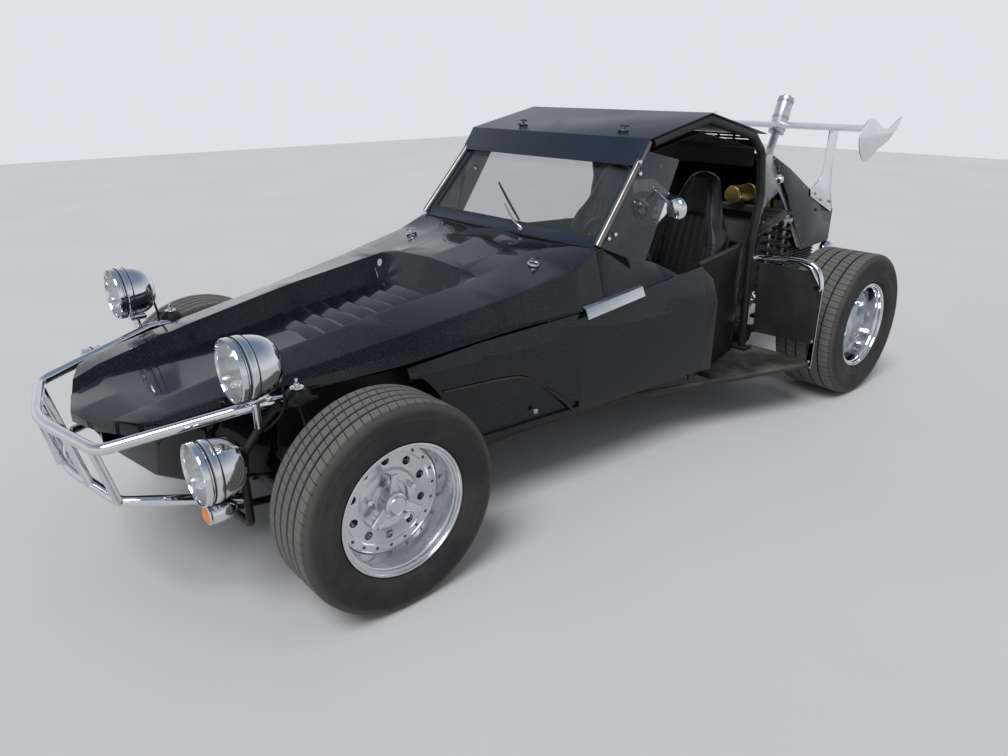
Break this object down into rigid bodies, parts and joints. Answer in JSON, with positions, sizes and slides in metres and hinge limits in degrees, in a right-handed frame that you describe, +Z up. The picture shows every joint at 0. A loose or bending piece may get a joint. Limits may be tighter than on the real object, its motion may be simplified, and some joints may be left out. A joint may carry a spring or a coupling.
{
  "type": "dune buggy",
  "caption": "Open-wheeled dune buggy with a tilting louvred nose, tube cage, round lamps on a tube bumper and a rear wing.",
  "frame": {"origin": "on the ground, under the middle of the car", "axes": "+X forward, +Y to the left, +Z up"},
  "size_m": [4.1394, 1.754, 1.3917],
  "materials": {
    "gelcoat_black": "gloss",
    "roof_paint": "satin",
    "tyre_rubber": "matte",
    "alloy_polished": "polished",
    "chrome_plate": "polished",
    "frame_paint": "satin",
    "steel_bare": "satin",
    "cast_engine": "matte",
    "screen_glass": "gloss",
    "lens_glass": "gloss",
    "vinyl_black": "matte",
    "board_paint": "matte",
    "fabric_black": "matte",
    "aluminium_sheet": "satin",
    "brass_can": "satin",
    "dark_plate": "gloss",
    "lamp_amber": "gloss",
    "dash_black": "matte"
  },
  "bodies": {
    "chassis": {"body_sides": "gelcoat_black", "bumper": "chrome_plate", "coil_overs": "frame_paint", "dashboard": "dash_black", "door_mirrors": "chrome_plate", "engine_block": "cast_engine", "exhaust": "steel_bare", "floor_pan": "frame_paint", "front_arms": "frame_paint", "front_beam": "frame_paint", "front_shocks": "frame_paint", "grab_rails": "chrome_plate", "intake": "brass_can", "lamp_brackets": "frame_paint", "lamp_lenses": "lens_glass", "lower_lamps": "chrome_plate", "mud_panels": "fabric_black", "nose_pan": "gelcoat_black", "quarter_panels": "dark_plate", "rear_arms": "frame_paint", "rear_bulkhead": "gelcoat_black", "rear_cover": "dark_plate", "rear_frame": "frame_paint", "roll_cage": "frame_paint", "roof_panel": "roof_paint", "running_boards": "board_paint", "scuttle": "gelcoat_black", "seats": "vinyl_black", "steering_column": "frame_paint", "tail_lamps": "chrome_plate", "turn_signals": "lamp_amber", "upper_lamps": "chrome_plate", "wind_deflectors": "dark_plate", "windscreen_frame": "frame_paint", "windscreen_glass": "screen_glass", "wing": "aluminium_sheet", "wing_uprights": "aluminium_sheet"},
    "hood": {"hood": "gelcoat_black"},
    "knuckle_left": {"knuckle_left": "cast_engine"},
    "knuckle_right": {"knuckle_right": "cast_engine"},
    "tie_rod": {"tie_rod": "steel_bare"},
    "steering_wheel": {"steering_wheel": "dash_black"},
    "wheel_front_left": {"tyre_front_left": "tyre_rubber", "rim_front_left": "alloy_polished"},
    "wheel_front_right": {"tyre_front_right": "tyre_rubber", "rim_front_right": "alloy_polished"},
    "wheel_rear_left": {"tyre_rear_left": "tyre_rubber", "rim_rear_left": "alloy_polished"},
    "wheel_rear_right": {"tyre_rear_right": "tyre_rubber", "rim_rear_right": "alloy_polished"}
  },
  "joints": [
    {"name": "hood_tilt", "type": "hinge", "parent": "chassis", "child": "hood", "pos_m": [1.915, 0, 0.54], "axis": [0, 1, 0], "range_deg": [0, 60]},
    {"name": "steer_left", "type": "hinge", "parent": "chassis", "child": "knuckle_left", "pos_m": [1.325, 0.56, 0.328], "axis": [0, 0, 1], "range_deg": [-25, 25]},
    {"name": "steer_right", "type": "hinge", "parent": "chassis", "child": "knuckle_right", "pos_m": [1.325, -0.56, 0.328], "axis": [0, 0, 1], "range_deg": [-25, 25]},
    {"name": "track_rod_slide", "type": "slide", "parent": "chassis", "child": "tie_rod", "axis": [0, -1, 0], "range_m": [-0.0524, 0.0524]},
    {"name": "steering_wheel_turn", "type": "hinge", "parent": "chassis", "child": "steering_wheel", "pos_m": [-0.125, 0.27, 0.78], "axis": [-0.9063, 0, 0.4226], "range_deg": [-350, 350]},
    {"name": "spin_front_left", "type": "hinge", "parent": "knuckle_left", "child": "wheel_front_left", "pos_m": [1.325, 0.6675, 0.328], "axis": [0, 1, 0], "continuous": true},
    {"name": "spin_front_right", "type": "hinge", "parent": "knuckle_right", "child": "wheel_front_right", "pos_m": [1.325, -0.6675, 0.328], "axis": [0, 1, 0], "continuous": true},
    {"name": "spin_rear_left", "type": "hinge", "parent": "chassis", "child": "wheel_rear_left", "pos_m": [-1.319, 0.7275, 0.348], "axis": [0, 1, 0], "continuous": true},
    {"name": "spin_rear_right", "type": "hinge", "parent": "chassis", "child": "wheel_rear_right", "pos_m": [-1.319, -0.7275, 0.348], "axis": [0, 1, 0], "continuous": true}
  ],
  "couplings": [
    {"joint": "steer_right", "follows": "steer_left", "ratio": 1},
    {"joint": "steering_wheel_turn", "follows": "steer_left", "ratio": 14},
    {"joint": "track_rod_slide", "follows": "steer_left", "m_per_rad": 0.12}
  ]
}
